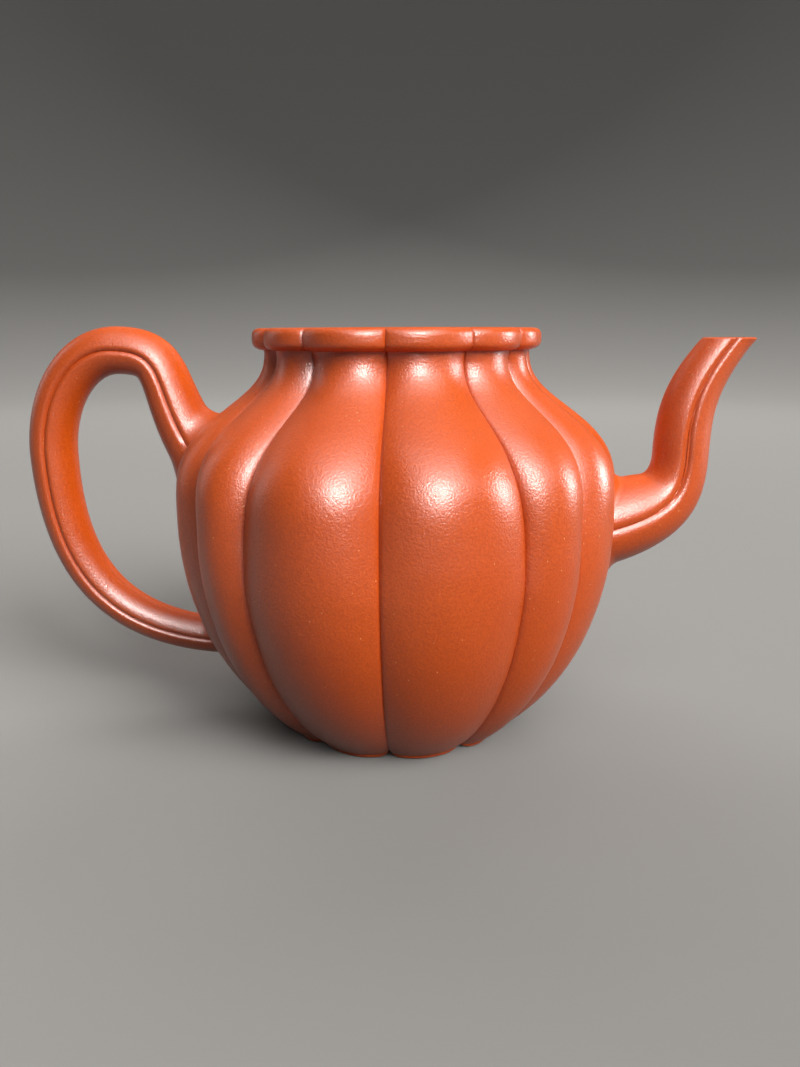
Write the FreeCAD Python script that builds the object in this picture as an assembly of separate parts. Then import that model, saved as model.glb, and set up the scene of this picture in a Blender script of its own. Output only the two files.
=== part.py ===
import FreeCAD, Part
import math
import os

# Lobed clay teapot: spout along +X, handle along -X, standing on Z = 0. All lengths in millimetres.

# Body outline over the crests of the lobes, from the foot up to the rim
FOOT_RADIUS = 25.1
BELLY_RADIUS = 47.5
BELLY_HEIGHT = 47.5
SHOULDER_RISE = 31.0
NECK_RADIUS = 28.0
NECK_RISE = 3.6
LIP_RISE = 4.3
NECK_HEIGHT = BELLY_HEIGHT + SHOULDER_RISE
LIP_CREASE_HEIGHT = NECK_HEIGHT + NECK_RISE
RIM_HEIGHT = LIP_CREASE_HEIGHT + LIP_RISE

# Lobes, as angles round the axis: the spout and the handle each stand on the middle of one
SPOUT_LOBE_ANGLE = 21.0
SECOND_LOBE_ANGLE = 24.0
THIRD_LOBE_ANGLE = 20.0
GROOVE_DEPTH = 3.4

# Walls, and the joints between the clay pieces
WALL = 3.0
BASE_THICKNESS = 4.0
SHOULDER_JOINT_RISE = 8.5
NECK_JOINT_DROP = 4.0
MOUTH_EDGE = 4.5
SLIP_JOINT = 0.1
SHOULDER_JOINT_HEIGHT = BELLY_HEIGHT + SHOULDER_JOINT_RISE
NECK_JOINT_HEIGHT = NECK_HEIGHT - NECK_JOINT_DROP
MOUTH_RADIUS = NECK_RADIUS - MOUTH_EDGE

# Pressed-in underside, inside the ring that the pot stands on
STANDING_EDGE = 6.1
DIMPLE_SLOPE_WIDTH = 4.0
DIMPLE_DEPTH = 1.5
DIMPLE_RADIUS = FOOT_RADIUS - STANDING_EDGE

# Lip bead: how far it stands out from the neck, and how far its edges roll back
LIP_OVERHANG = 2.4
LIP_ROLL = 1.8

# Spout, by its centre line in the XZ plane
SPOUT_ROOT_DROP = 3.7
SPOUT_ROOT_DEPTH = 5.5
SPOUT_ROOT_SLOPE = 17.0
SPOUT_ROOT_RUN = 14.0
SPOUT_STEM_STANDOFF = 13.15
SPOUT_ELBOW_RISE = 13.0
SPOUT_ELBOW_RUN = 11.0
SPOUT_STEM_RUN = 9.0
SPOUT_TIP_STANDOFF = 21.5
SPOUT_TIP_DROP = 2.1
SPOUT_TIP_LEAN = 38.0
SPOUT_TIP_RUN = 12.0
SPOUT_ROOT_RADIUS = 9.2
SPOUT_STEM_RADIUS = 5.75
SPOUT_TIP_RADIUS = 4.2
SPOUT_BORE_ROOT_RADIUS = 5.6
SPOUT_BORE_TIP_RADIUS = 2.9
SPOUT_ROOT_HEIGHT = BELLY_HEIGHT - SPOUT_ROOT_DROP
SPOUT_TIP_HEIGHT = RIM_HEIGHT - SPOUT_TIP_DROP
SPOUT_TIP_REACH = BELLY_RADIUS + SPOUT_TIP_STANDOFF

# Strainer, a pierced disc in the wall behind the spout
STRAINER_LIFT = 1.7
STRAINER_EDGE = 1.0
STRAINER_THICKNESS = 2.2
STRAINER_RECESS = 1.6
STRAINER_HOLE_RADIUS = 1.1
STRAINER_HOLE_INSET = 2.7
STRAINER_HOLE_COUNT = 6
STRAINER_HEIGHT = SPOUT_ROOT_HEIGHT + STRAINER_LIFT
STRAINER_RADIUS = SPOUT_BORE_ROOT_RADIUS + STRAINER_EDGE

# Handle, by its centre line in the XZ plane
HANDLE_UPPER_ROOT_RISE = 8.0
HANDLE_UPPER_ROOT_DEPTH = 7.0
HANDLE_UPPER_LEAN = 36.0
HANDLE_UPPER_RUN = 16.0
HANDLE_CROWN_STANDOFF = 13.5
HANDLE_CROWN_DROP = 4.5
HANDLE_CROWN_RUN = 9.0
HANDLE_GRIP_STANDOFF = 30.0
HANDLE_GRIP_RISE = 11.0
HANDLE_GRIP_UPPER_RUN = 13.0
HANDLE_GRIP_LOWER_RUN = 22.0
HANDLE_LOWER_ROOT_HEIGHT = 16.5
HANDLE_LOWER_ROOT_DEPTH = 3.0
HANDLE_LOWER_RUN = 34.0
HANDLE_ROOT_RADIUS = 7.2
HANDLE_GRIP_RADIUS = 5.05
HANDLE_TAIL_RADIUS = 4.15

# The groove that splits the spout and the handle into two lobes, on each side
RIB_GROOVE_DEPTH = 0.7
RIB_FLANK_ANGLE = 20.0
RIB_POINT_ANGLES = (0.0, 8.0, 20.0, 40.0, 65.0)

# How finely the clay forms are drawn: chords across each lobe, and bands along each form
OUTER_CHORD_COUNT = 7
INNER_CHORD_COUNT = 3
BASE_BAND_COUNT = 2
WALL_BAND_COUNT = 8
SHOULDER_BAND_COUNT = 7
NECK_BAND_COUNT = 3
LIP_BAND_COUNT = 5
SPOUT_BAND_COUNT = 6
HANDLE_BAND_COUNT = 7
BORE_SIDE_COUNT = 10
WALL_CROWDING_FACTOR = 1.4
SLOPE_STEP_FACTOR = 0.0001

QUARTER_TURN = 90.0
HALF_TURN = 180.0
FULL_TURN = 360.0


def polar(radius, angle, height):
    turn = math.radians(angle)
    return FreeCAD.Vector(radius * math.cos(turn), radius * math.sin(turn), height)


def groove_angles():
    first = SPOUT_LOBE_ANGLE / 2
    second = first + SECOND_LOBE_ANGLE
    third = second + THIRD_LOBE_ANGLE
    quarter = [first, second, third]
    half = quarter + [QUARTER_TURN] + [HALF_TURN - angle for angle in reversed(quarter)]
    return half + [FULL_TURN - angle for angle in reversed(half)]


def lobe_points(crest, groove, start, end, height, chords):
    # Points on the arc that rises from one groove over the crest to the next, the last one left out
    half = math.radians(end - start) / 2
    middle = (start + end) / 2
    chord = groove * math.sin(half)
    rise = crest - groove * math.cos(half)
    radius = (chord ** 2 + rise ** 2) / (2 * rise)
    sweep = 2 * math.atan2(rise, chord)
    points = []
    for step in range(chords):
        turn = sweep * (2 * step / chords - 1)
        along = crest - radius + radius * math.cos(turn)
        across = radius * math.sin(turn)
        reach = math.hypot(along, across)
        points.append(polar(reach, middle + math.degrees(math.atan2(across, along)), height))
    return points


def lobed_ring(crest, groove, height, chords):
    angles = groove_angles()
    ends = angles[1:] + [angles[0] + FULL_TURN]
    points = []
    for start, end in zip(angles, ends):
        points += lobe_points(crest, groove, start, end, height, chords)
    return points


def flat_face(corners):
    return Part.Face(Part.makePolygon(corners + corners[:1]))


def crest_radius(height):
    # An ellipse up to the belly, and a soft shoulder from there into the neck
    if height <= BELLY_HEIGHT:
        below = (BELLY_HEIGHT - height) / BELLY_HEIGHT
        foot_share = FOOT_RADIUS / BELLY_RADIUS
        return BELLY_RADIUS * math.sqrt(1 - (1 - foot_share ** 2) * below ** 2)
    rise = min((height - BELLY_HEIGHT) / (NECK_HEIGHT - BELLY_HEIGHT), 1.0)
    swell = math.cos(math.pi / 2 * rise ** 2) ** 2
    return NECK_RADIUS + (BELLY_RADIUS - NECK_RADIUS) * swell


def inner_radius(height):
    # The wall is as thick square to its slope as it is where it stands upright
    step = BELLY_HEIGHT * SLOPE_STEP_FACTOR
    slope = (crest_radius(height + step) - crest_radius(height - step)) / (2 * step)
    return crest_radius(height) - WALL * math.hypot(1.0, slope)


def groove_radius(crest):
    return crest * (1 - GROOVE_DEPTH / BELLY_RADIUS)


def lobed_form(profile, low, high, bands, crowding=1.0):
    # Every ring has the same shape in its own size, so that the faces between two rings are flat
    chords = INNER_CHORD_COUNT if profile is inner_radius else OUTER_CHORD_COUNT
    rings = []
    for step in range(bands + 1):
        height = low + (high - low) * (step / bands) ** crowding
        crest = profile(height)
        rings.append(lobed_ring(crest, groove_radius(crest), height, chords))
    faces = [flat_face(rings[0]), flat_face(rings[-1])]
    for lower, upper in zip(rings, rings[1:]):
        for index, corner in enumerate(lower):
            faces.append(flat_face([corner, lower[index - 1], upper[index - 1], upper[index]]))
    shell = Part.makeShell(faces)
    shell.sewShape()
    return Part.makeSolid(shell)


def wall_form(profile):
    # The bands crowd towards the foot, where the outline turns fastest
    return lobed_form(profile, BASE_THICKNESS, SHOULDER_JOINT_HEIGHT, WALL_BAND_COUNT, WALL_CROWDING_FACTOR)


def shoulder_form(profile):
    return lobed_form(profile, SHOULDER_JOINT_HEIGHT, NECK_JOINT_HEIGHT, SHOULDER_BAND_COUNT)


def mouth_bore():
    return Part.makeCylinder(MOUTH_RADIUS, RIM_HEIGHT, FreeCAD.Vector(0, 0, NECK_JOINT_HEIGHT))


def base_disc():
    # The underside is pressed in, so that the pot stands on a ring
    dimple = Part.makeCone(DIMPLE_RADIUS, DIMPLE_RADIUS - DIMPLE_SLOPE_WIDTH, DIMPLE_DEPTH)
    return lobed_form(crest_radius, 0.0, BASE_THICKNESS, BASE_BAND_COUNT).cut(dimple)


def strainer_face():
    return crest_radius(STRAINER_HEIGHT) - STRAINER_RECESS - STRAINER_THICKNESS


def body_wall():
    # The port for the strainer runs from the hollow out through the wall
    start = FreeCAD.Vector(strainer_face() - WALL, 0, STRAINER_HEIGHT)
    port = Part.makeCylinder(STRAINER_RADIUS + SLIP_JOINT, BELLY_RADIUS, start, FreeCAD.Vector(1, 0, 0))
    return wall_form(crest_radius).cut(wall_form(inner_radius)).cut(port)


def shoulder_cap():
    return shoulder_form(crest_radius).cut(shoulder_form(inner_radius))


def neck_collar():
    return lobed_form(crest_radius, NECK_JOINT_HEIGHT, LIP_CREASE_HEIGHT, NECK_BAND_COUNT).cut(mouth_bore())


def lip_radius(height):
    half = (RIM_HEIGHT - LIP_CREASE_HEIGHT) / 2
    share = (height - LIP_CREASE_HEIGHT) / half - 1
    return NECK_RADIUS + LIP_OVERHANG - LIP_ROLL * (1 - math.sqrt(max(0.0, 1 - share ** 2)))


def lip_ring():
    return lobed_form(lip_radius, LIP_CREASE_HEIGHT, RIM_HEIGHT, LIP_BAND_COUNT).cut(mouth_bore())


def strainer():
    face = strainer_face()
    along = FreeCAD.Vector(1, 0, 0)
    start = FreeCAD.Vector(face, 0, STRAINER_HEIGHT)
    disc = Part.makeCylinder(STRAINER_RADIUS, STRAINER_THICKNESS, start, along)
    ring = STRAINER_RADIUS - STRAINER_HOLE_INSET
    spots = [FreeCAD.Vector(0, 0, 0)]
    for index in range(STRAINER_HOLE_COUNT):
        spots.append(polar(ring, FULL_TURN * index / STRAINER_HOLE_COUNT, 0.0))
    holes = []
    for spot in spots:
        centre = FreeCAD.Vector(face, spot.x, STRAINER_HEIGHT + spot.y)
        holes.append(Part.makeCylinder(STRAINER_HOLE_RADIUS, STRAINER_THICKNESS, centre, along))
    return disc.cut(holes)


def blend(points, share):
    # A point and the direction on a four-point curve in the XZ plane
    rest = 1 - share
    weights = (rest ** 3, 3 * rest ** 2 * share, 3 * rest * share ** 2, share ** 3)
    place = [sum(weight * point[axis] for weight, point in zip(weights, points)) for axis in (0, 1)]
    pulls = (rest ** 2, 2 * rest * share, share ** 2)
    legs = [(end[0] - start[0], end[1] - start[1]) for start, end in zip(points, points[1:])]
    along = [sum(pull * leg[axis] for pull, leg in zip(pulls, legs)) for axis in (0, 1)]
    length = math.hypot(along[0], along[1])
    return place, (along[0] / length, along[1] / length)


def section_wire(place, along, outline):
    # Each outline point is an angle from the side and a radius; the side runs along Y
    points = []
    for angle, radius in outline:
        side = radius * math.cos(math.radians(angle))
        out = radius * math.sin(math.radians(angle))
        points.append(FreeCAD.Vector(place[0] - along[1] * out, side, place[1] + along[0] * out))
    return Part.makePolygon(points + points[:1])


def two_lobed_wire(place, along, radius):
    # A round section with a groove on each side
    quarter = []
    for angle in RIB_POINT_ANGLES:
        share = max(0.0, 1 - angle / RIB_FLANK_ANGLE)
        quarter.append((angle, radius - RIB_GROOVE_DEPTH * share ** 2))
    far = [(HALF_TURN - angle, reach) for angle, reach in reversed(quarter[1:])]
    half = quarter + [(QUARTER_TURN, radius)] + far
    return section_wire(place, along, half + [(HALF_TURN + angle, reach) for angle, reach in half])


def round_wire(place, along, radius):
    angles = [FULL_TURN * side / BORE_SIDE_COUNT for side in range(BORE_SIDE_COUNT)]
    return section_wire(place, along, [(angle, radius) for angle in angles])


def spout_curves():
    slope = math.radians(SPOUT_ROOT_SLOPE)
    lean = math.radians(SPOUT_TIP_LEAN)
    root = (BELLY_RADIUS - SPOUT_ROOT_DEPTH, SPOUT_ROOT_HEIGHT)
    root_end = (root[0] + SPOUT_ROOT_RUN * math.cos(slope), root[1] + SPOUT_ROOT_RUN * math.sin(slope))
    elbow = (BELLY_RADIUS + SPOUT_STEM_STANDOFF, BELLY_HEIGHT + SPOUT_ELBOW_RISE)
    tip = (SPOUT_TIP_REACH, SPOUT_TIP_HEIGHT)
    tip_start = (tip[0] - SPOUT_TIP_RUN * math.sin(lean), tip[1] - SPOUT_TIP_RUN * math.cos(lean))
    lower = (root, root_end, (elbow[0], elbow[1] - SPOUT_ELBOW_RUN), elbow)
    upper = (elbow, (elbow[0], elbow[1] + SPOUT_STEM_RUN), tip_start, tip)
    return lower, upper


def spout_stations():
    # Places along the centre line, each with its outer radius and its bore radius, to a little past the tip
    lower, upper = spout_curves()
    bore_elbow = (SPOUT_BORE_ROOT_RADIUS + SPOUT_BORE_TIP_RADIUS) / 2
    stations = []
    for step in range(SPOUT_BAND_COUNT):
        share = step / SPOUT_BAND_COUNT
        ease = share * share * (3 - 2 * share)
        radius = SPOUT_ROOT_RADIUS + (SPOUT_STEM_RADIUS - SPOUT_ROOT_RADIUS) * ease
        bore = SPOUT_BORE_ROOT_RADIUS + (bore_elbow - SPOUT_BORE_ROOT_RADIUS) * share
        stations.append(blend(lower, share) + (radius, bore))
    for step in range(SPOUT_BAND_COUNT + 1):
        share = step / SPOUT_BAND_COUNT
        radius = SPOUT_STEM_RADIUS + (SPOUT_TIP_RADIUS - SPOUT_STEM_RADIUS) * share ** 2
        bore = bore_elbow + (SPOUT_BORE_TIP_RADIUS - bore_elbow) * share
        stations.append(blend(upper, share) + (radius, bore))
    place, along, radius, bore = stations[-1]
    beyond = (place[0] + 2 * radius * along[0], place[1] + 2 * radius * along[1])
    stations.append((beyond, along, radius, bore))
    return stations


def spout():
    # The root follows the wall, and the tip is cut level
    outer_wires = []
    bore_wires = []
    for place, along, outer_radius, bore_radius in spout_stations():
        outer_wires.append(two_lobed_wire(place, along, outer_radius))
        bore_wires.append(round_wire(place, along, bore_radius))
    horn = Part.makeLoft(outer_wires, True, True)
    bore = Part.makeLoft(bore_wires, True, True)
    reach = 2 * SPOUT_TIP_REACH
    above = Part.makeBox(reach, reach, reach, FreeCAD.Vector(0, -reach / 2, SPOUT_TIP_HEIGHT))
    return horn.cut([wall_form(crest_radius), bore, above])


def handle_curves():
    lean = math.radians(HANDLE_UPPER_LEAN)
    upper_root = (HANDLE_UPPER_ROOT_DEPTH - BELLY_RADIUS, BELLY_HEIGHT + HANDLE_UPPER_ROOT_RISE)
    upper_end = (upper_root[0] - HANDLE_UPPER_RUN * math.sin(lean),
                 upper_root[1] + HANDLE_UPPER_RUN * math.cos(lean))
    crown = (-BELLY_RADIUS - HANDLE_CROWN_STANDOFF, RIM_HEIGHT - HANDLE_CROWN_DROP)
    grip = (-BELLY_RADIUS - HANDLE_GRIP_STANDOFF, BELLY_HEIGHT + HANDLE_GRIP_RISE)
    lower_surface = crest_radius(HANDLE_LOWER_ROOT_HEIGHT)
    lower_root = (HANDLE_LOWER_ROOT_DEPTH - lower_surface, HANDLE_LOWER_ROOT_HEIGHT)
    rise = (upper_root, upper_end, (crown[0] + HANDLE_CROWN_RUN, crown[1]), crown)
    turn = (crown, (crown[0] - HANDLE_CROWN_RUN, crown[1]), (grip[0], grip[1] + HANDLE_GRIP_UPPER_RUN), grip)
    tail = (grip, (grip[0], grip[1] - HANDLE_GRIP_LOWER_RUN),
            (lower_root[0] - HANDLE_LOWER_RUN, lower_root[1]), lower_root)
    return rise, turn, tail


def handle():
    # The roots follow the shoulder and the wall
    rise, turn, tail = handle_curves()
    wires = []
    for step in range(HANDLE_BAND_COUNT):
        share = step / HANDLE_BAND_COUNT
        place, along = blend(rise, share)
        flare = (HANDLE_ROOT_RADIUS - HANDLE_GRIP_RADIUS) * (1 - share) ** 3
        wires.append(two_lobed_wire(place, along, HANDLE_GRIP_RADIUS + flare))
    for step in range(HANDLE_BAND_COUNT):
        place, along = blend(turn, step / HANDLE_BAND_COUNT)
        wires.append(two_lobed_wire(place, along, HANDLE_GRIP_RADIUS))
    for step in range(HANDLE_BAND_COUNT + 1):
        share = step / HANDLE_BAND_COUNT
        place, along = blend(tail, share)
        radius = HANDLE_GRIP_RADIUS + (HANDLE_TAIL_RADIUS - HANDLE_GRIP_RADIUS) * share
        wires.append(two_lobed_wire(place, along, radius))
    return Part.makeLoft(wires, True, True).cut([wall_form(crest_radius), shoulder_form(crest_radius)])


def main():
    pieces = {
        "base_disc": base_disc(),
        "body_wall": body_wall(),
        "shoulder_cap": shoulder_cap(),
        "neck_collar": neck_collar(),
        "lip_ring": lip_ring(),
        "spout": spout(),
        "strainer": strainer(),
        "handle": handle(),
    }
    os.makedirs("parts", exist_ok=True)
    for name, shape in pieces.items():
        shape.exportStep("parts/" + name + ".step")
        print(name, "solids", len(shape.Solids), "valid", shape.isValid(), "volume", round(shape.Volume, 1))


main()
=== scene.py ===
import math

import bmesh
import bpy
import numpy as np
from mathutils import Matrix, Vector, noise


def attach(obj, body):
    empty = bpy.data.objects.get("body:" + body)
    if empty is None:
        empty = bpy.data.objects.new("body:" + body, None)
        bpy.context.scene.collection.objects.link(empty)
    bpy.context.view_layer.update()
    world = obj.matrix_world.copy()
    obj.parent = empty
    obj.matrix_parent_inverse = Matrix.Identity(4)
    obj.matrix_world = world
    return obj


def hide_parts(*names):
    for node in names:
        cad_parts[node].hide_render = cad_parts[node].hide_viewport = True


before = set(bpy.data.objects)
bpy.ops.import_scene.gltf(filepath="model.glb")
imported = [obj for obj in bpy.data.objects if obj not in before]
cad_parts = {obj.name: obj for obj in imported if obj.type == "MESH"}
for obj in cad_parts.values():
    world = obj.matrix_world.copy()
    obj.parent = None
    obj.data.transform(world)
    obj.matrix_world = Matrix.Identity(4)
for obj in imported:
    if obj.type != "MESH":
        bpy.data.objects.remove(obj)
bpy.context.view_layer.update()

# A lobed, unglazed clay teapot: spout along +X, handle along -X, standing on Z = 0.
# Sizes are in millimetres and follow the solids, apart from the finish and the bend in the handle's rise.
# The meshes are made in metres.
METRES = 0.001

# Body outline over the crests of the lobes
FOOT_RADIUS = 25.1
BELLY_RADIUS = 47.5
BELLY_HEIGHT = 47.5
NECK_RADIUS = 28.0
NECK_HEIGHT = 78.5
LIP_CREASE_HEIGHT = 82.1
RIM_HEIGHT = 86.4
BASE_THICKNESS = 4.0
SHOULDER_JOINT_HEIGHT = 56.0
NECK_JOINT_HEIGHT = 74.5
MOUTH_RADIUS = 23.5
WALL = 3.0

# Smoothing by hand where the shoulder turns up into the neck
SHOULDER_SMOOTHING = 3.6
SMOOTHING_STEPS = 9
# The slope of the wall is measured this far up and down
SLOPE_STEP = 0.01

# Pressed-in underside, whose edge slopes up over a share of its radius
DIMPLE_RADIUS = 19.0
DIMPLE_DEPTH = 1.5
DIMPLE_SLOPE = 0.35
DIMPLE_ROWS = 16
FIRST_DIMPLE_SHARE = 0.05
STANDING_RING_SHARES = (0.3, 0.65)
INNER_FLOOR_SHARES = (0.3, 0.6, 0.85, 1.0)
# Both faces of the slab run in to a ring of this radius, which a fan closes
CENTRE_RADIUS = 1.0

# Foot: how far it is pinched up at each groove, and how far its edge is rounded
FOOT_PINCH = 1.5
FOOT_ROUNDING = 0.9
FOOT_ROUNDING_ROWS = 6

# Lip: a rolled bead with a wavering lower edge, and slip squeezed out under it
LIP_OVERHANG = 2.4
LIP_ROLL = 1.8
LIP_FLATNESS = 1.5
LIP_ROLL_ROWS = 24
LIP_TOP_SHARES = (0.15, 0.4, 0.7, 1.0)
LIP_WAVER = 0.7
LIP_WAVER_LENGTH = 9.0
RIM_ROUNDING = 1.1
RIM_ROUNDING_ROWS = 7
SLIP_THICKNESS = 0.5
SLIP_WIDTH = 0.7
SLIP_LENGTH = 2.2

# Lobes, as the angles in degrees of the grooves from the spout to the middle of the front
BELLY_GROOVE_ANGLES = (10.5, 34.5, 54.5)
# The side lobes spread a little on their way up to the neck
NECK_GROOVE_ANGLES = (8.5, 28.5, 56.5)
# Depth of the grooves as a share of the radius: shallow over the foot and deep at the shoulder
GROOVE_HEIGHTS = (4.0, 40.0, 62.0, 75.0, 80.0, 83.0)
GROOVE_SHARES = (0.055, 0.060, 0.098, 0.098, 0.085, 0.055)
POINTS_PER_LOBE = 30
# Neighbouring lobes share their groove to within this many radians
ANGLE_TOLERANCE = 1e-9
# The crease pressed along each groove
CREASE_DEPTH = 0.3
CREASE_WIDTH = 0.8

# Distances between rows of points up the walls
WALL_ROW_SPACING = 0.6
WALL_INNER_ROW_SPACING = 1.2
NECK_ROW_SPACING = 0.35
NECK_INNER_ROW_SPACING = 1.0
LIP_INNER_ROW_SPACING = 0.8
FOOT_ROW_SPACING = 0.4
# Edges that turn by more than this many degrees look sharp
SHARP_ANGLE = 25.0

# Spout, by four-point curves in the XZ plane
SPOUT_ELBOW = (60.65, 60.5)
SPOUT_TIP_HEIGHT = 84.3
SPOUT_LOWER_CURVE = ((42.0, 43.8), (55.388, 47.893), (60.65, 49.5), SPOUT_ELBOW)
SPOUT_UPPER_CURVE = (SPOUT_ELBOW, (60.65, 69.5), (61.612, 74.844), (69.0, SPOUT_TIP_HEIGHT))
SPOUT_ROOT_RADIUS = 9.2
SPOUT_STEM_RADIUS = 5.75
SPOUT_TIP_RADIUS = 4.2
SPOUT_BORE_ROOT_RADIUS = 5.6
SPOUT_BORE_ELBOW_RADIUS = 4.25
SPOUT_BORE_TIP_RADIUS = 2.9
SPOUT_ROWS = 150
SPOUT_BORE_ROWS = 70
TIP_ROUNDING = 0.3
TIP_FLATNESS = 4
TIP_FACE_SHARES = (0.1, 0.25, 0.5, 0.75, 0.9)

# Handle, by four-point curves in the XZ plane
HANDLE_TOP = (-61.0, 81.9)
HANDLE_BACK = (-77.5, 58.5)
HANDLE_RISE_CURVE = ((-40.5, 55.5), (-54.0, 72.5), (-46.4, 81.9), HANDLE_TOP)
HANDLE_TURN_CURVE = (HANDLE_TOP, (-70.0, 81.9), (-77.5, 71.5), HANDLE_BACK)
HANDLE_TAIL_CURVE = (HANDLE_BACK, (-77.5, 36.5), (-70.54, 16.5), (-36.54, 16.5))
HANDLE_ROOT_RADIUS = 7.2
HANDLE_GRIP_RADIUS = 5.05
HANDLE_TAIL_RADIUS = 4.15
HANDLE_ROOT_TAPER = 3
HANDLE_ROWS = 260

# The groove along each side of the spout and the handle, with its flank in degrees round the section
RIB_GROOVE_DEPTH = 0.6
RIB_FLANK_ANGLE = 13.0
RIB_SHADE_WIDTH = 0.55
# On the spout it splits in two by this angle, round a place and over a reach that are shares of the length
RIB_SPLIT_ANGLE = 3.2
RIB_SPLIT_MIDDLE = 0.5
RIB_SPLIT_REACH = 0.3

# Points along a curve, and round a section, where they crowd towards its two sides
CURVE_STEPS = 120
RUN_STEPS = CURVE_STEPS // 4
SECTION_POINTS = 26
SIDE_CROWDING = 1.7
# Rows along a line are this share evenly spaced, and for the rest they crowd towards its ends
EVEN_SHARE = 0.55

# Slip smoothed into the corners where the spout and the handle are stuck on
SPOUT_FILLET = 2.2
HANDLE_FILLET = 4.2
ROOT_SINK = 0.4
ROOT_RUN_IN = 12.0
TIP_RUN_ON = 9.0

# Strainer port in the wall behind the spout
STRAINER_HEIGHT = 45.5
PORT_RADIUS = 6.7
PORT_START = 40.0
PORT_END = 56.0
PORT_SIDES = 64

# Hand work: the surface wanders by this much over these distances
WANDER_DEPTH = 0.16
WANDER_LENGTH = 15.0
DAB_DEPTH = 0.05
DAB_LENGTH = 5.0

# Fired red clay: colours as sRGB, sizes in millimetres
CLAY_DARK = "#AE3F06"
CLAY_LIGHT = "#BE4C09"
SKIN_COLOUR = "#C6581C"
PIT_COLOUR = "#8C2E08"
SAND_COLOUR = "#DC9660"
IRON_COLOUR = "#6E2410"
# Painted shade with settled dust, laid into the grooves
GROOVE_SHADE_AND_DUST_COLOUR = "#8E2C0C"
CLOUD_SIZE = 24.0
CLOUD_DETAIL = 4.0
CLOUD_BREAKUP = 0.55
SKIN_SIZE = 0.8
SKIN_STRETCH = (1.0, 1.0, 1.35)
SKIN_DETAIL = 3.0
SKIN_BREAKUP = 0.6
SKIN_SHARE = 0.25
SKIN_DEPTH = 0.04
GRIT_SIZE = 0.4
GRIT_DETAIL = 2.0
GRIT_DEPTH = 0.06
PIT_RANGE = (0.35, 0.65)
PIT_SHARE = 0.4
GRAIN_SPACING = 1.9
# A grain is solid out to its core and fades to its edge, both as shares of the spacing
GRAIN_CORE = 0.03
GRAIN_EDGE = 0.08
SAND_THRESHOLD = 0.25
IRON_THRESHOLD = 0.96
# How much of the painted groove shade and dust shows at the bottom of a groove
GROOVE_SHADE_AND_DUST_SHARE = 0.2
POLISH_SIZE = 9.0
POLISH_DETAIL = 3.0
POLISH_RANGE = (0.31, 0.40)
# Most values of a noise pattern lie in this range
NOISE_RANGE = (0.3, 0.7)
CLAY_IOR = 1.5
CLAY_SPECULAR = 0.8

# Studio, in metres: a round sheet of paper with its flat rings, its curve and its height
SHEET_FLAT_RADII = (0.3, 0.8, 0.9)
SHEET_CURVE = 0.6
SHEET_CURVE_ROWS = 16
SHEET_HEIGHT = 2.6
SHEET_SIDES = 64
# Paper and air are paler where they are seen, straight or in a polish, than in the light that they throw
PAPER_SEEN = "#74726F"
PAPER_LIT = "#3A3836"
PAPER_ROUGHNESS = 0.6
AIR_COLOUR = "#DDDCDA"
AIR_SEEN = 0.2
AIR_LIT = 0.03
LAMP_AIM = (0.0, 0.0, 0.06)
# Lamps: name, azimuth, elevation, distance, width, height, watts, lights matt surfaces, shows in a polish
LAMPS = (
    ("key_lamp", 48, 35, 1.1, 0.6, 0.6, 19.5, True, False),
    ("sky_lamp", 18, 45, 1.2, 1.0, 1.0, 9.0, True, True),
    ("top_lamp", 20, 75, 1.2, 1.6, 1.6, 3.0, True, True),
    ("left_fill", -148, 40, 1.1, 0.7, 0.7, 12.0, True, False),
    ("right_fill", 155, 40, 1.1, 0.7, 0.7, 13.0, True, False),
    ("ceiling_sheen", 6, 60, 1.2, 1.4, 1.4, 9.0, False, True),
    ("front_spark", 9, 29, 0.9, 0.22, 0.3, 10.5, False, True),
    ("right_spark", 99, 14, 0.9, 0.2, 0.3, 6.0, False, True),
    ("left_spark", -107, 20, 0.9, 0.2, 0.6, 0.6, False, True),
)

# Camera: angles in degrees, places in metres, sensor in millimetres, focal length and picture in pixels
CAMERA_AZIMUTH = 4.16
CAMERA_YAW = 3.97
CAMERA_PITCH = 14.07
CAMERA_ROLL = -0.19
CAMERA_DISTANCE = 0.1744
CAMERA_HEIGHT = 0.08542
CAMERA_NEAREST = 0.005
FOCAL_PIXELS = 801
PICTURE_HEIGHT = 1067
SENSOR_SIZE = 36.0


def between(low, high, share):
    return low + (high - low) * share


def eased(share):
    # A share that sets off and arrives gently
    return share ** 2 * (3 - 2 * share)


def lobes(height):
    # Pairs of neighbouring grooves at one height or at an array of heights
    rise = np.clip((height - BELLY_HEIGHT) / (NECK_JOINT_HEIGHT - BELLY_HEIGHT), 0, 1)
    spread = eased(rise)
    quarter = [between(low, high, spread) for low, high in zip(BELLY_GROOVE_ANGLES, NECK_GROOVE_ANGLES)]
    half = quarter + [90.0] + [180.0 - angle for angle in reversed(quarter)]
    grooves = half + [360.0 - angle for angle in reversed(half)]
    return list(zip(grooves, grooves[1:] + [grooves[0] + 360.0]))


def lobe_arc(start, end, height):
    # Middle angle, centre, radius and half turn of the arc over one lobe, where the crests have a radius of 1
    half = np.radians(end - start) / 2
    groove = 1 - np.interp(height, GROOVE_HEIGHTS, GROOVE_SHARES)
    chord = groove * np.sin(half)
    rise = 1 - groove * np.cos(half)
    radius = (chord ** 2 + rise ** 2) / (2 * rise)
    return np.radians(start + end) / 2, 1 - radius, radius, 2 * np.arctan2(rise, chord)


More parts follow.
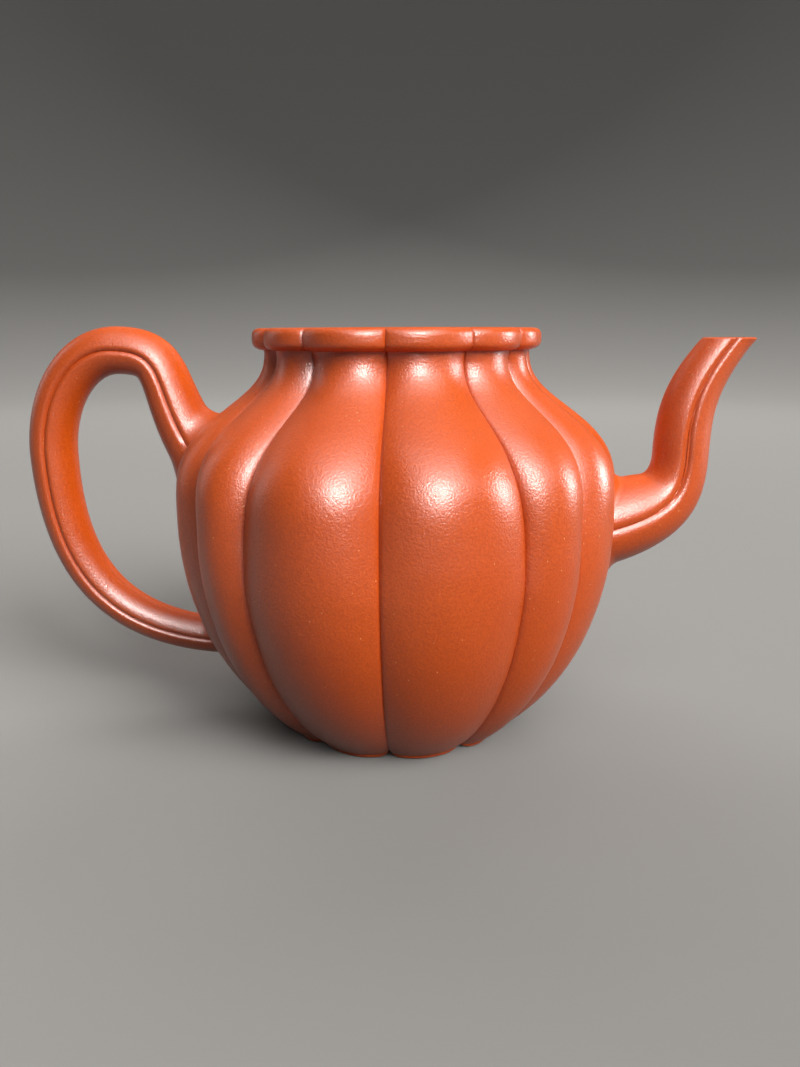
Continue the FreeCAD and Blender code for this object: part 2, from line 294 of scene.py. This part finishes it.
def lobed_outline(height):
    # Points round a body whose crests have a radius of 1, and how near each is to a groove
    points = []
    nearness = []
    share = np.arange(POINTS_PER_LOBE) / POINTS_PER_LOBE
    for start, end in lobes(height):
        middle, centre, radius, half_turn = lobe_arc(start, end, height)
        turn = -half_turn * np.cos(math.pi * share)
        along = centre + radius * np.cos(turn)
        across = radius * np.sin(turn)
        from_groove = (half_turn - np.abs(turn)) * radius * BELLY_RADIUS
        crease = CREASE_DEPTH / BELLY_RADIUS * np.maximum(0, 1 - from_groove / CREASE_WIDTH) ** 2
        reach = np.hypot(along, across) - crease
        angle = middle + np.arctan2(across, along)
        points.append(np.column_stack([reach * np.cos(angle), reach * np.sin(angle)]))
        nearness.append(np.exp(-from_groove / CREASE_WIDTH))
    return np.concatenate(points), np.concatenate(nearness)


NEARNESS = lobed_outline(BELLY_HEIGHT)[1]
NO_GROOVE = np.zeros_like(NEARNESS)


def drawn_radius(height):
    # The outline as it is first drawn: a bowl below the belly and a shoulder above it
    height = np.asarray(height, float)
    below = np.clip((BELLY_HEIGHT - height) / BELLY_HEIGHT, 0, 1)
    bowl = BELLY_RADIUS * np.sqrt(1 - (1 - (FOOT_RADIUS / BELLY_RADIUS) ** 2) * below ** 2)
    rise = np.clip((height - BELLY_HEIGHT) / (NECK_HEIGHT - BELLY_HEIGHT), 0, 1)
    shoulder_line = between(NECK_RADIUS, BELLY_RADIUS, np.cos(math.pi / 2 * rise ** 2) ** 2)
    return np.where(height <= BELLY_HEIGHT, bowl, shoulder_line)


def crest_radius(height):
    # The outline smoothed by hand over a few millimetres above the belly
    steps = np.linspace(-SHOULDER_SMOOTHING, SHOULDER_SMOOTHING, SMOOTHING_STEPS)
    smoothed = sum(drawn_radius(height + step) for step in steps) / len(steps)
    ease = np.clip((height - BELLY_HEIGHT) / SHOULDER_SMOOTHING, 0, 1)
    return between(drawn_radius(height), smoothed, ease)


def crest_slope(height):
    return (crest_radius(height + SLOPE_STEP) - crest_radius(height - SLOPE_STEP)) / (2 * SLOPE_STEP)


def inner_radius(height):
    return crest_radius(height) - WALL * np.hypot(1, crest_slope(height))


def lobed_row(radius, height):
    outline = lobed_outline(height)[0]
    return np.column_stack([outline * radius, np.full(len(outline), height)])


def round_row(radius, height):
    outline = lobed_outline(height)[0]
    circle = outline / np.linalg.norm(outline, axis=1)[:, None]
    return np.column_stack([circle * radius, np.full(len(circle), height)])


def unevenness(points, length):
    # Smooth noise at each point, with features of about this length
    return np.array([noise.noise(Vector(point) / length) for point in points])


def moved_out(points, distances):
    # The points moved level and straight out from the axis
    moved = points.copy()
    moved[:, :2] *= (1 + distances / np.linalg.norm(points[:, :2], axis=1))[:, None]
    return moved


def hand_worked(points):
    # A hand-smoothed wall is never quite true: it dips by a fraction of a millimetre here and there
    broad = WANDER_DEPTH * (unevenness(points, WANDER_LENGTH) - 1) / 2
    dabs = DAB_DEPTH * (unevenness(points, DAB_LENGTH) - 1) / 2
    return moved_out(points, broad + dabs)


def placed(name, data):
    # A new object in the scene for a mesh, a lamp or a camera
    thing = bpy.data.objects.new(name, data)
    bpy.context.scene.collection.objects.link(thing)
    return thing


def clay_piece(name, node, rows, depths, wrap=False, caps=False):
    # A closed mesh from rows of points: wrap joins the last row to the first, caps closes both ends with fans
    count = len(rows[0])
    points = np.concatenate(rows)
    values = np.concatenate(depths)
    faces = []
    for row in range(len(rows) if wrap else len(rows) - 1):
        here = row * count
        there = (row + 1) % len(rows) * count
        for index in range(count):
            after = (index + 1) % count
            faces.append((here + index, here + after, there + after, there + index))
    if caps:
        for row in (0, len(rows) - 1):
            middle = len(points)
            points = np.vstack([points, rows[row].mean(axis=0)])
            values = np.append(values, 0.0)
            for index in range(count):
                faces.append((row * count + index, row * count + (index + 1) % count, middle))
    mesh = bpy.data.meshes.new(name)
    mesh.from_pydata((points * METRES).tolist(), [], faces)
    # Nearness to a groove, which the clay turns into painted shade with settled dust
    groove = mesh.attributes.new("groove", "FLOAT", "POINT")
    groove.data.foreach_set("value", values.astype(np.float32))
    shell = bmesh.new()
    shell.from_mesh(mesh)
    bmesh.ops.recalc_face_normals(shell, faces=shell.faces)
    shell.to_mesh(mesh)
    shell.free()
    mesh.shade_smooth()
    mesh.set_sharp_from_angle(angle=math.radians(SHARP_ANGLE))
    piece = placed(name, mesh)
    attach(piece, "root")
    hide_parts(node)
    return piece


def band(low, high, spacing):
    # Heights from one to the other, about this far apart
    count = max(2, int(round(abs(high - low) / spacing)))
    return np.linspace(low, high, count + 1)


def wall_between(name, node, low, high):
    # A lobed stretch of wall, worked by hand outside and plain inside
    outer = []
    for height in band(low, high, WALL_ROW_SPACING):
        outer.append(hand_worked(lobed_row(crest_radius(height), height)))
    inner = []
    for height in band(high, low, WALL_INNER_ROW_SPACING):
        inner.append(lobed_row(inner_radius(height), height))
    depths = [NEARNESS] * len(outer) + [NO_GROOVE] * len(inner)
    return clay_piece(name, node, outer + inner, depths, wrap=True)


def cut_port(piece):
    # The port that the strainer sits in
    maker = bmesh.new()
    turn = Matrix.Rotation(math.pi / 2, 4, "Y")
    place = Matrix.Translation(((PORT_START + PORT_END) / 2 * METRES, 0, STRAINER_HEIGHT * METRES))
    bmesh.ops.create_cone(maker, cap_ends=True, segments=PORT_SIDES, radius1=PORT_RADIUS * METRES,
                          radius2=PORT_RADIUS * METRES, depth=(PORT_END - PORT_START) * METRES,
                          matrix=place @ turn)
    mesh = bpy.data.meshes.new("port_cutter")
    maker.to_mesh(mesh)
    maker.free()
    cutter = placed("port_cutter", mesh)
    cut = piece.modifiers.new("port", "BOOLEAN")
    cut.operation = "DIFFERENCE"
    cut.solver = "MANIFOLD"
    cut.object = cutter
    evaluated = piece.evaluated_get(bpy.context.evaluated_depsgraph_get())
    result = bpy.data.meshes.new_from_object(evaluated)
    piece.modifiers.clear()
    piece.data = result
    bpy.data.objects.remove(cutter)


def belly():
    piece = wall_between("belly", "body_wall", BASE_THICKNESS, SHOULDER_JOINT_HEIGHT)
    cut_port(piece)
    return piece


def shoulder():
    return wall_between("shoulder", "shoulder_cap", SHOULDER_JOINT_HEIGHT, NECK_JOINT_HEIGHT)


def neck():
    # The collar, with slip squeezed out in an uneven line under the lip
    outer = []
    for height in band(NECK_JOINT_HEIGHT, LIP_CREASE_HEIGHT, NECK_ROW_SPACING):
        row = hand_worked(lobed_row(crest_radius(height), height))
        under_lip = math.exp(-((LIP_CREASE_HEIGHT - height) / SLIP_WIDTH) ** 2)
        squeezed = np.maximum(0, unevenness(row, SLIP_LENGTH))
        outer.append(moved_out(row, SLIP_THICKNESS * under_lip * squeezed))
    inner = []
    for height in band(LIP_CREASE_HEIGHT, NECK_JOINT_HEIGHT, NECK_INNER_ROW_SPACING):
        inner.append(round_row(MOUTH_RADIUS, height))
    depths = [NEARNESS] * len(outer) + [NO_GROOVE] * len(inner)
    return clay_piece("neck", "neck_collar", outer + inner, depths, wrap=True)


def lip():
    # A rolled bead, pinched at each groove, with a wavering lower edge and a soft inner edge
    half = (RIM_HEIGHT - LIP_CREASE_HEIGHT) / 2
    middle = LIP_CREASE_HEIGHT + half
    rows = []
    depths = []
    for turn in np.linspace(-math.pi / 2, math.pi / 2, LIP_ROLL_ROWS):
        radius = NECK_RADIUS + LIP_OVERHANG - LIP_ROLL * (1 - math.cos(turn)) ** LIP_FLATNESS
        row = hand_worked(lobed_row(radius, middle + half * math.sin(turn)))
        waver = (unevenness(row * (1, 1, 0), LIP_WAVER_LENGTH) + 1) / 2
        row[:, 2] += LIP_WAVER * waver * max(0, -math.sin(turn)) ** 2 * math.cos(turn)
        rows.append(row)
        depths.append(NEARNESS)
    outside = rows[-1]
    edge = round_row(MOUTH_RADIUS + RIM_ROUNDING, RIM_HEIGHT)
    for share in LIP_TOP_SHARES:
        rows.append(between(outside, edge, share))
        depths.append(NEARNESS * (1 - share))
    for turn in np.linspace(0, math.pi / 2, RIM_ROUNDING_ROWS)[1:]:
        radius = MOUTH_RADIUS + RIM_ROUNDING * (1 - math.sin(turn))
        rows.append(round_row(radius, RIM_HEIGHT - RIM_ROUNDING * (1 - math.cos(turn))))
        depths.append(NO_GROOVE)
    for height in band(RIM_HEIGHT - RIM_ROUNDING, LIP_CREASE_HEIGHT, LIP_INNER_ROW_SPACING)[1:]:
        rows.append(round_row(MOUTH_RADIUS, height))
        depths.append(NO_GROOVE)
    return clay_piece("lip", "lip_ring", rows, depths, wrap=True)


def foot_row(radius, height):
    # A row near the foot, pinched up at the grooves
    row = hand_worked(lobed_row(radius, height))
    row[:, 2] += FOOT_PINCH * np.sqrt(NEARNESS) * (1 - height / BASE_THICKNESS) ** 2
    return row


def base():
    # The slab under the pot: scalloped outside, pressed in underneath, flat inside
    heights = band(BASE_THICKNESS, FOOT_ROUNDING, FOOT_ROW_SPACING)
    outer = [foot_row(crest_radius(height), height) for height in heights]
    for turn in np.linspace(0, math.pi / 2, FOOT_ROUNDING_ROWS)[1:]:
        radius = crest_radius(FOOT_ROUNDING) - FOOT_ROUNDING * (1 - math.cos(turn))
        outer.append(foot_row(radius, FOOT_ROUNDING * (1 - math.sin(turn))))
    middle = round_row(CENTRE_RADIUS, BASE_THICKNESS)
    inside = [between(outer[0], middle, share) for share in INNER_FLOOR_SHARES]
    ring = round_row(DIMPLE_RADIUS, 0.0)
    under = [between(outer[-1], ring, share) for share in STANDING_RING_SHARES] + [ring]
    for share in np.linspace(FIRST_DIMPLE_SHARE, 1, DIMPLE_ROWS):
        depth = DIMPLE_DEPTH * (1 - math.cos(math.pi * min(1, share / DIMPLE_SLOPE))) / 2
        under.append(round_row(between(DIMPLE_RADIUS, CENTRE_RADIUS, share), depth))
    depths = [NO_GROOVE] * len(inside) + [NEARNESS] * len(outer) + [NO_GROOVE] * len(under)
    return clay_piece("base", "base_disc", inside[::-1] + outer + under, depths, caps=True)


def curve_points(points):
    # Places, directions and shares of the way along a four-point curve
    share = np.linspace(0, 1, CURVE_STEPS + 1)[:, None]
    start, leaving, arriving, end = (np.array(point) for point in points)
    rest = 1 - share
    place = (rest ** 3 * start + 3 * rest ** 2 * share * leaving
             + 3 * rest * share ** 2 * arriving + share ** 3 * end)
    along = (rest ** 2 * (leaving - start) + 2 * rest * share * (arriving - leaving)
             + share ** 2 * (end - arriving))
    return place, along / np.linalg.norm(along, axis=1)[:, None], share[:, 0]


def end_to_end(*stretches):
    # Stretches of one line joined, each without the first point, which the one before it has
    return np.concatenate([stretches[0]] + [stretch[1:] for stretch in stretches[1:]])


def lengthened(places, alongs, radii, before, after):
    # The same line run on straight past its two ends
    lead = np.linspace(before, 0, RUN_STEPS)[:-1]
    trail = np.linspace(0, after, RUN_STEPS)[1:]
    lead_places = places[0] - alongs[0] * lead[:, None]
    trail_places = places[-1] + alongs[-1] * trail[:, None]
    lead_alongs = np.repeat(alongs[:1], len(lead), axis=0)
    trail_alongs = np.repeat(alongs[-1:], len(trail), axis=0)
    lead_radii = np.full(len(lead), radii[0])
    trail_radii = np.full(len(trail), radii[-1])
    return (np.concatenate([lead_places, places, trail_places]),
            np.concatenate([lead_alongs, alongs, trail_alongs]),
            np.concatenate([lead_radii, radii, trail_radii]))


def section_angles():
    # Angles round a section, close together at the grooves on its two sides
    quarter = 90.0 * np.linspace(0, 1, SECTION_POINTS + 1) ** SIDE_CROWDING
    half = np.concatenate([quarter[:-1], 180.0 - quarter[:0:-1]])
    return np.concatenate([half, 180.0 + half])


SECTION = section_angles()
FROM_SIDE = np.minimum(SECTION % 180.0, 180.0 - SECTION % 180.0)
SIDE_OUT = np.where((SECTION % 180.0 < 90.0) == (SECTION < 180.0), FROM_SIDE, -FROM_SIDE)
NO_RIB = np.zeros_like(SECTION)


class Sweep:
    """A two-lobed or round section carried along a centre line, read at any mark along it."""

    def __init__(self, places, alongs, radii, groove_depth, split=None):
        self.places = places
        self.alongs = alongs
        self.radii = radii
        self.groove_depth = groove_depth
        self.split = split if split is not None else np.zeros(len(radii))
        self.marks = np.arange(len(radii))

    def read(self, values, marks):
        return np.interp(marks, self.marks, values)

    def points(self, marks, extra=0.0):
        # One point for each section angle, at that angle's own mark along the line
        radius = self.read(self.radii, marks) + extra
        split = self.read(self.split, marks)
        inner = np.maximum(0, 1 - np.abs(SIDE_OUT - split) / RIB_FLANK_ANGLE)
        outer = np.maximum(0, 1 - np.abs(SIDE_OUT + split) / RIB_FLANK_ANGLE)
        radius = radius - self.groove_depth * np.maximum(inner, outer) ** 2
        turn = np.radians(SECTION)
        x = self.read(self.places[:, 0], marks)
        z = self.read(self.places[:, 1], marks)
        along_x = self.read(self.alongs[:, 0], marks)
        along_z = self.read(self.alongs[:, 1], marks)
        out = radius * np.sin(turn)
        return np.column_stack([x - along_z * out, radius * np.cos(turn), z + along_x * out])


def body_radius(angles, heights):
    # Radius of the lobed body at each angle and height
    angles = angles % (2 * math.pi)
    found = np.zeros_like(angles)
    for start, end in lobes(heights):
        middle, centre, radius, half_turn = lobe_arc(start, end, heights)
        away = (angles - middle + math.pi) % (2 * math.pi) - math.pi
        reach = centre * np.cos(away) + np.sqrt(np.maximum(0, radius ** 2 - (centre * np.sin(away)) ** 2))
        found = np.where(np.abs(away) <= np.radians(end - start) / 2 + ANGLE_TOLERANCE, reach, found)
    return found * crest_radius(heights)


def gap_to_body(points):
    # How far each point is outside the clay body, measured square to its slope
    reach = np.hypot(points[:, 0], points[:, 1])
    surface = body_radius(np.arctan2(points[:, 1], points[:, 0]), points[:, 2])
    return (reach - surface) / np.hypot(1, crest_slope(points[:, 2]))


def out_of_body(points):
    return gap_to_body(points) + ROOT_SINK


def past_tip(points):
    return points[:, 2] - SPOUT_TIP_HEIGHT + TIP_ROUNDING


def first_mark(sweep, reached, backwards=False):
    # The mark at which each line of the sweep first meets the condition, counted from one end
    order = sweep.marks[::-1] if backwards else sweep.marks
    found = np.full(len(SECTION), np.nan)
    before = reached(sweep.points(np.full(len(SECTION), float(order[0]))))
    for last, mark in zip(order, order[1:]):
        now = reached(sweep.points(np.full(len(SECTION), float(mark))))
        crossing = np.isnan(found) & (before < 0) & (now >= 0)
        share = np.where(crossing, -before / np.where(now - before == 0, 1, now - before), 0)
        found = np.where(crossing, between(last, mark, share), found)
        before = now
    return found


def pressed_on(swollen, plain, share):
    # Slip spreads over the body's surface and doesn't stand off it
    lift = np.maximum(0, gap_to_body(swollen) - gap_to_body(plain)) * share
    return moved_out(swollen, -lift * np.hypot(1, crest_slope(swollen[:, 2])))


def swept_rows(sweep, starts, ends, count, fillet):
    # Rows from one end of each line to the other, with a hollow of slip where they come near the body
    rows = []
    for even in np.arange(count + 1) / count:
        gentle = (1 - math.cos(math.pi * even)) / 2
        marks = between(starts, ends, EVEN_SHARE * even + (1 - EVEN_SHARE) * gentle)
        plain = sweep.points(marks)
        near = np.clip(gap_to_body(plain), 0, fillet)
        swell = fillet - np.sqrt(fillet ** 2 - (fillet - near) ** 2)
        rows.append(pressed_on(sweep.points(marks, swell), plain, swell / fillet))
    return rows


def rib_depths(radius):
    return np.exp(-np.radians(FROM_SIDE) * radius / RIB_SHADE_WIDTH)


def spout():
    # A tapering horn with a bore, cut level at the tip
    lower, lower_along, lower_share = curve_points(SPOUT_LOWER_CURVE)
    upper, upper_along, upper_share = curve_points(SPOUT_UPPER_CURVE)
    places = end_to_end(lower, upper)
    alongs = end_to_end(lower_along, upper_along)
    outer = end_to_end(between(SPOUT_ROOT_RADIUS, SPOUT_STEM_RADIUS, eased(lower_share)),
                       between(SPOUT_STEM_RADIUS, SPOUT_TIP_RADIUS, upper_share ** 2))
    bore = end_to_end(between(SPOUT_BORE_ROOT_RADIUS, SPOUT_BORE_ELBOW_RADIUS, lower_share),
                      between(SPOUT_BORE_ELBOW_RADIUS, SPOUT_BORE_TIP_RADIUS, upper_share))
    outer_line = lengthened(places, alongs, outer, ROOT_RUN_IN, TIP_RUN_ON)
    bore_line = lengthened(places, alongs, bore, ROOT_RUN_IN, TIP_RUN_ON)
    length = np.linspace(0, 1, len(outer_line[0]))
    split = RIB_SPLIT_ANGLE * np.clip(1 - np.abs(length - RIB_SPLIT_MIDDLE) / RIB_SPLIT_REACH, 0, 1)
    horn = Sweep(*outer_line, RIB_GROOVE_DEPTH, split)
    channel = Sweep(*bore_line, 0.0)
    root = first_mark(horn, out_of_body)
    tip = first_mark(horn, past_tip)
    outside = swept_rows(horn, root, tip, SPOUT_ROWS, SPOUT_FILLET)
    bore_root = first_mark(channel, out_of_body)
    bore_tip = first_mark(channel, past_tip)
    shares = np.linspace(0, 1, SPOUT_BORE_ROWS)
    inside = [channel.points(between(bore_tip, bore_root, share)) for share in shares]
    face = []
    for share in TIP_FACE_SHARES:
        row = between(outside[-1], inside[0], share)
        row[:, 2] += TIP_ROUNDING * (1 - abs(2 * share - 1) ** TIP_FLATNESS)
        face.append(row)
    depths = [rib_depths(SPOUT_STEM_RADIUS)] * len(outside) + [NO_RIB] * (len(face) + len(inside))
    return clay_piece("spout_horn", "spout", outside + face + inside, depths, wrap=True)


def handle():
    # An ear that leaves the shoulder, turns over at the top and comes back to the belly as a thinner tail
    rise, rise_along, rise_share = curve_points(HANDLE_RISE_CURVE)
    turn, turn_along = curve_points(HANDLE_TURN_CURVE)[:2]
    tail, tail_along, tail_share = curve_points(HANDLE_TAIL_CURVE)
    places = end_to_end(rise, turn, tail)
    alongs = end_to_end(rise_along, turn_along, tail_along)
    radii = end_to_end(between(HANDLE_GRIP_RADIUS, HANDLE_ROOT_RADIUS, (1 - rise_share) ** HANDLE_ROOT_TAPER),
                       np.full(len(turn), HANDLE_GRIP_RADIUS),
                       between(HANDLE_GRIP_RADIUS, HANDLE_TAIL_RADIUS, tail_share))
    ear = Sweep(*lengthened(places, alongs, radii, ROOT_RUN_IN, ROOT_RUN_IN), RIB_GROOVE_DEPTH)
    upper_root = first_mark(ear, out_of_body)
    lower_root = first_mark(ear, out_of_body, backwards=True)
    rows = swept_rows(ear, upper_root, lower_root, HANDLE_ROWS, HANDLE_FILLET)
    depths = [rib_depths(HANDLE_GRIP_RADIUS)] * len(rows)
    return clay_piece("ear_handle", "handle", rows, depths, caps=True)


def linear(hex_colour):
    # An sRGB hex value as linear red, green, blue and alpha
    parts = [int(hex_colour[place:place + 2], 16) / 255 for place in (1, 3, 5)]
    colour = [part / 12.92 if part <= 0.04045 else ((part + 0.055) / 1.055) ** 2.4 for part in parts]
    return (*colour, 1.0)


def per_metre(size):
    # A texture scale from the size of one feature in millimetres
    return 1 / (size * METRES)


def emptied_tree(owner):
    # The node tree of a material or a world, without the nodes that it starts with
    owner.use_nodes = True
    owner.node_tree.nodes.clear()
    return owner.node_tree


def add(tree, kind, inputs=None, **settings):
    # One node with its settings, and its inputs as values or as links from other nodes
    node = tree.nodes.new(kind)
    for name, value in settings.items():
        setattr(node, name, value)
    for socket, value in (inputs or {}).items():
        if isinstance(value, bpy.types.NodeSocket):
            tree.links.new(value, node.inputs[socket])
        else:
            node.inputs[socket].default_value = value
    return node


def grain_shares(tree, where):
    # How much pale sand and how much dark iron shows at each place
    grains = add(tree, "ShaderNodeTexVoronoi",
                 {"Vector": where, "Scale": per_metre(GRAIN_SPACING), "Randomness": 1.0})
    near = add(tree, "ShaderNodeMapRange",
               {"Value": grains.outputs["Distance"], "From Min": GRAIN_CORE, "From Max": GRAIN_EDGE,
                "To Min": 1.0, "To Max": 0.0})
    draws = add(tree, "ShaderNodeSeparateColor", {"Color": grains.outputs["Color"]})
    shares = []
    for draw, threshold in (("Red", SAND_THRESHOLD), ("Green", IRON_THRESHOLD)):
        chosen = add(tree, "ShaderNodeMath", {0: draws.outputs[draw], 1: threshold},
                     operation="GREATER_THAN")
        share = add(tree, "ShaderNodeMath", {0: near.outputs["Result"], 1: chosen.outputs["Value"]},
                    operation="MULTIPLY")
        shares.append(share.outputs["Value"])
    return shares


def clay_colour(tree, where, skin, grit):
    # Clouded clay under a paler skin, with dark pits, grains of sand and iron, and painted shade with settled
    # dust darkening the grooves
    clouds = add(tree, "ShaderNodeTexNoise",
                 {"Vector": where, "Scale": per_metre(CLOUD_SIZE), "Detail": CLOUD_DETAIL,
                  "Roughness": CLOUD_BREAKUP})
    skin_share = add(tree, "ShaderNodeMapRange",
                     {"Value": skin, "From Min": NOISE_RANGE[0], "From Max": NOISE_RANGE[1],
                      "To Min": 0.0, "To Max": SKIN_SHARE})
    pit_share = add(tree, "ShaderNodeMapRange",
                    {"Value": grit, "From Min": PIT_RANGE[0], "From Max": PIT_RANGE[1],
                     "To Min": PIT_SHARE, "To Max": 0.0})
    sand_share, iron_share = grain_shares(tree, where)
    # Painted shade with settled dust, darkest at the grooves
    groove = add(tree, "ShaderNodeAttribute", attribute_name="groove")
    groove_shade_and_dust = add(tree, "ShaderNodeMath", {0: groove.outputs["Fac"], 1: GROOVE_SHADE_AND_DUST_SHARE},
                       operation="MULTIPLY")
    layers = (
        (skin_share.outputs["Result"], SKIN_COLOUR),
        (pit_share.outputs["Result"], PIT_COLOUR),
        (sand_share, SAND_COLOUR),
        (iron_share, IRON_COLOUR),
        (groove_shade_and_dust.outputs["Value"], GROOVE_SHADE_AND_DUST_COLOUR),
    )
    colour = add(tree, "ShaderNodeMix",
                 {"Factor": clouds.outputs["Fac"], "A": linear(CLAY_DARK), "B": linear(CLAY_LIGHT)},
                 data_type="RGBA")
    for share, layer in layers:
        colour = add(tree, "ShaderNodeMix",
                     {"Factor": share, "A": colour.outputs["Result"], "B": linear(layer)}, data_type="RGBA")
    return colour.outputs["Result"]


def fired_red_clay():
    # Unglazed red stoneware clay, fired hard and burnished with a horn: a warm satin orange-red whose fine
    # skin breaks up the light. The grit is drawn a little coarser than real grit, so that it shows.
    material = bpy.data.materials.new("fired_red_clay")
    tree = emptied_tree(material)
    where = add(tree, "ShaderNodeTexCoord").outputs["Object"]
    stretched = add(tree, "ShaderNodeMapping", {"Vector": where, "Scale": SKIN_STRETCH})
    skin = add(tree, "ShaderNodeTexNoise",
               {"Vector": stretched.outputs["Vector"], "Scale": per_metre(SKIN_SIZE),
                "Detail": SKIN_DETAIL, "Roughness": SKIN_BREAKUP}).outputs["Fac"]
    grit = add(tree, "ShaderNodeTexNoise",
               {"Vector": where, "Scale": per_metre(GRIT_SIZE), "Detail": GRIT_DETAIL}).outputs["Fac"]
    polish = add(tree, "ShaderNodeTexNoise",
                 {"Vector": where, "Scale": per_metre(POLISH_SIZE), "Detail": POLISH_DETAIL})
    roughness = add(tree, "ShaderNodeMapRange",
                    {"Value": polish.outputs["Fac"], "From Min": NOISE_RANGE[0], "From Max": NOISE_RANGE[1],
                     "To Min": POLISH_RANGE[0], "To Max": POLISH_RANGE[1]})
    skin_relief = add(tree, "ShaderNodeBump",
                      {"Height": skin, "Strength": 1.0, "Distance": SKIN_DEPTH * METRES})
    relief = add(tree, "ShaderNodeBump",
                 {"Height": grit, "Strength": 1.0, "Distance": GRIT_DEPTH * METRES,
                  "Normal": skin_relief.outputs["Normal"]})
    surface = add(tree, "ShaderNodeBsdfPrincipled",
                  {"Base Color": clay_colour(tree, where, skin, grit),
                   "Roughness": roughness.outputs["Result"], "IOR": CLAY_IOR,
                   "Specular IOR Level": CLAY_SPECULAR, "Normal": relief.outputs["Normal"]})
    add(tree, "ShaderNodeOutputMaterial", {"Surface": surface.outputs["BSDF"]})
    return material


def directly_seen(tree):
    # One for rays from the camera or from a mirror-like or clear surface, else nought
    path = add(tree, "ShaderNodeLightPath")
    seen = path.outputs["Is Camera Ray"]
    for kind in ("Is Glossy Ray", "Is Transmission Ray"):
        either = add(tree, "ShaderNodeMath", {0: seen, 1: path.outputs[kind]}, operation="MAXIMUM")
        seen = either.outputs["Value"]
    return seen


def studio_paper():
    # Matt paper: an even sheet that takes a soft shadow and throws little light back on the pot
    material = bpy.data.materials.new("studio_paper")
    tree = emptied_tree(material)
    colour = add(tree, "ShaderNodeMix",
                 {"Factor": directly_seen(tree), "A": linear(PAPER_LIT), "B": linear(PAPER_SEEN)},
                 data_type="RGBA")
    surface = add(tree, "ShaderNodeBsdfDiffuse",
                  {"Color": colour.outputs["Result"], "Roughness": PAPER_ROUGHNESS})
    add(tree, "ShaderNodeOutputMaterial", {"Surface": surface.outputs["BSDF"]})
    return material


def studio_sheet():
    # A round sheet of paper that lies on the table and curves up all round
    edge = SHEET_FLAT_RADII[-1]
    outline = [(radius, 0.0) for radius in SHEET_FLAT_RADII]
    for turn in np.linspace(0, math.pi / 2, SHEET_CURVE_ROWS)[1:]:
        outline.append((edge + SHEET_CURVE * math.sin(turn), SHEET_CURVE * (1 - math.cos(turn))))
    outline.append((edge + SHEET_CURVE, SHEET_HEIGHT))
    points = []
    for radius, height in outline:
        for turn in np.linspace(0, 2 * math.pi, SHEET_SIDES, endpoint=False):
            points.append((radius * math.cos(turn), radius * math.sin(turn), height))
    faces = [tuple(range(SHEET_SIDES))]
    for row in range(len(outline) - 1):
        here = row * SHEET_SIDES
        there = here + SHEET_SIDES
        for side in range(SHEET_SIDES):
            after = (side + 1) % SHEET_SIDES
            faces.append((here + side, there + side, there + after, here + after))
    mesh = bpy.data.meshes.new("studio_sheet")
    mesh.from_pydata(points, [], faces)
    mesh.shade_smooth()
    mesh.materials.append(studio_paper())
    sheet = placed("studio_sheet", mesh)


def softbox(name, azimuth, elevation, distance, width, height, watts, lights_matt, shows_in_polish):
    # A soft lamp that faces the pot, with its azimuth in degrees from the front towards the spout
    side = math.radians(azimuth)
    lift = math.radians(elevation)
    towards = Vector((math.sin(side) * math.cos(lift), -math.cos(side) * math.cos(lift), math.sin(lift)))
    lamp = bpy.data.lights.new(name, "AREA")
    lamp.shape = "RECTANGLE"
    lamp.size = width
    lamp.size_y = height
    lamp.energy = watts
    stand = placed(name, lamp)
    stand.location = Vector(LAMP_AIM) + towards * distance
    stand.rotation_euler = towards.to_track_quat("Z", "Y").to_euler()
    stand.visible_camera = False
    stand.visible_diffuse = lights_matt
    stand.visible_glossy = shows_in_polish


def studio_light():
    for lamp in LAMPS:
        softbox(*lamp)
    world = bpy.data.worlds.new("studio")
    tree = emptied_tree(world)
    strength = add(tree, "ShaderNodeMapRange",
                   {"Value": directly_seen(tree), "To Min": AIR_LIT, "To Max": AIR_SEEN})
    air = add(tree, "ShaderNodeBackground",
              {"Color": linear(AIR_COLOUR), "Strength": strength.outputs["Result"]})
    add(tree, "ShaderNodeOutputWorld", {"Surface": air.outputs["Background"]})
    bpy.context.scene.world = world
    bpy.context.scene.view_settings.view_transform = "Standard"


def camera():
    # From the front, level with the rim and tipped down
    azimuth = math.radians(CAMERA_AZIMUTH)
    yaw = math.radians(CAMERA_YAW)
    pitch = math.radians(CAMERA_PITCH)
    roll = math.radians(CAMERA_ROLL)
    forward = Vector((-math.sin(yaw) * math.cos(pitch), math.cos(yaw) * math.cos(pitch), -math.sin(pitch)))
    level = Vector((math.cos(yaw), math.sin(yaw), 0))
    upright = level.cross(forward)
    right = math.cos(roll) * level + math.sin(roll) * upright
    up = math.cos(roll) * upright - math.sin(roll) * level
    place = Vector((CAMERA_DISTANCE * math.sin(azimuth), -CAMERA_DISTANCE * math.cos(azimuth), CAMERA_HEIGHT))
    turn = Matrix((right, up, -forward)).transposed().to_4x4()
    lens = bpy.data.cameras.new("camera")
    lens.sensor_width = SENSOR_SIZE
    lens.lens = FOCAL_PIXELS * SENSOR_SIZE / PICTURE_HEIGHT
    lens.clip_start = CAMERA_NEAREST
    eye = placed("camera", lens)
    eye.matrix_world = Matrix.Translation(place) @ turn
    bpy.context.scene.camera = eye


clay = fired_red_clay()
pieces = [base(), belly(), shoulder(), neck(), lip(), spout(), handle(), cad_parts["strainer"]]
for piece in pieces:
    piece.data.materials.clear()
    piece.data.materials.append(clay)
studio_sheet()
studio_light()
camera()
